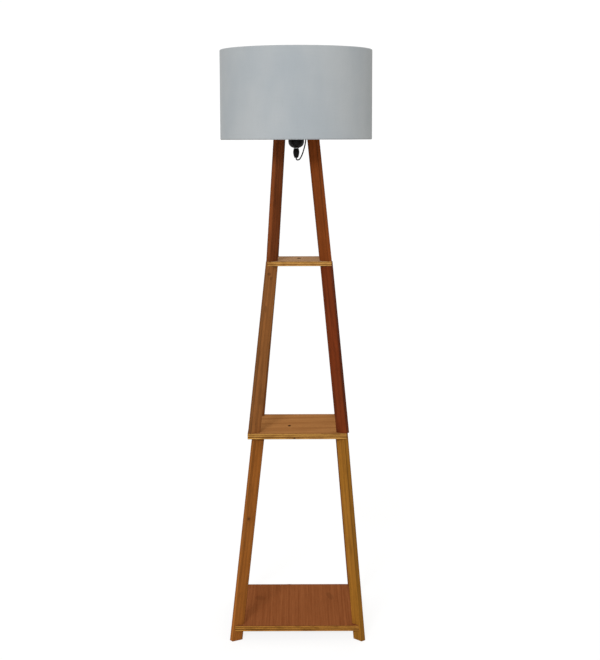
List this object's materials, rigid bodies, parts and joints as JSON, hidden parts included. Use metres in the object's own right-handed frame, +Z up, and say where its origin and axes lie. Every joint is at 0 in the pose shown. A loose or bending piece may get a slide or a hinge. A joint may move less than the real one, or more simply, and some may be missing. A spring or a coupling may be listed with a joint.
{
  "type": "floor lamp",
  "caption": "Tapering wooden shelf tower on leaning flat legs with square plywood shelves, carrying a drum shade over a black lampholder, with a clipped cord, in-line switch and plug.",
  "frame": {"origin": "on the floor, straight below the middle of the shade and of the base shelf", "axes": "+Z up, +X to the right seen from the front, +Y to the back where the cord runs"},
  "size_m": [0.394, 0.4683, 1.524],
  "materials": {
    "leg_wood": "satin oiled pine, red-brown",
    "front_left_wood": "satin oiled pine, mid brown",
    "shelf_plywood": "satin varnished plywood, golden",
    "dowel_wood": "bare beech",
    "plate_plywood": "satin varnished plywood",
    "shade_fabric": "pale grey linen, matt",
    "shade_lining": "white laminated lining",
    "hoop_wire": "white painted wire",
    "holder_black": "black thermoset, semi-gloss",
    "brass": "plain brass",
    "terminal_insulator": "cream moulded insulator",
    "steel": "zinc-plated steel",
    "washer_metal": "bright washer",
    "bulb_shell": "bright screw shell",
    "bulb_opal": "opal glass",
    "cord_black": "black flexible cord, matt",
    "clip_plastic": "black cable clip",
    "switch_plastic": "black moulded switch",
    "plug_rubber": "black moulded plug",
    "pin_metal": "nickel-plated pin",
    "tie_fabric": "black hook-and-loop band"
  },
  "bodies": {
    "stand": {"lower_leg_front_left": "front_left_wood", "lower_leg_front_right": "leg_wood", "lower_leg_rear_left": "leg_wood", "lower_leg_rear_right": "leg_wood", "middle_leg_front_left": "front_left_wood", "middle_leg_front_right": "leg_wood", "middle_leg_rear_left": "leg_wood", "middle_leg_rear_right": "leg_wood", "upper_leg_front_left": "front_left_wood", "upper_leg_front_right": "leg_wood", "upper_leg_rear_left": "leg_wood", "upper_leg_rear_right": "leg_wood", "base_shelf": "shelf_plywood", "middle_shelf": "shelf_plywood", "top_shelf": "shelf_plywood", "top_plate": "plate_plywood", "base_shelf_dowels": "dowel_wood", "middle_shelf_dowels": "dowel_wood", "top_shelf_dowels": "dowel_wood", "top_plate_screws": "steel", "shade_fabric": "shade_fabric", "shade_lining": "shade_lining", "shade_fitter": "hoop_wire", "shade_bottom_hoop": "hoop_wire", "shade_top_hoop": "hoop_wire", "holder_cap": "holder_black", "holder_skirt": "holder_black", "lower_ring_nut": "holder_black", "upper_ring_nut": "holder_black", "cord_grip": "holder_black", "thread_shell": "brass", "centre_contact": "brass", "terminal_screws": "brass", "terminal_block": "terminal_insulator", "grip_screw": "steel", "grip_washer": "washer_metal", "cord_loop": "cord_black", "cord_leg_run": "cord_black", "cord_switch_lead": "cord_black", "cord_coil_lead": "cord_black", "cord_plug_lead": "cord_black", "cord_coil": "cord_black", "coil_tie": "tie_fabric", "cable_clips": "clip_plastic", "clip_nails": "steel", "switch_base": "switch_plastic", "switch_cover": "switch_plastic", "switch_reliefs": "switch_plastic", "switch_contacts": "brass", "switch_screws": "steel", "plug_relief": "plug_rubber", "plug_body": "plug_rubber", "plug_pins": "pin_metal", "plug_pin_sleeves": "plug_rubber"},
    "bulb": {"bulb_base": "bulb_shell", "bulb_glass": "bulb_opal"},
    "rocker": {"switch_rocker": "switch_plastic"}
  },
  "joints": [
    {"name": "bulb_pull", "type": "slide", "parent": "stand", "child": "bulb", "axis": [0, 0, 1], "range_m": [0, 0.03]},
    {"name": "rocker_tilt", "type": "hinge", "parent": "stand", "child": "rocker", "pos_m": [0.068, 0.192, 0.009], "axis": [0, 1, 0], "range_deg": [-16, 0]}
  ]
}
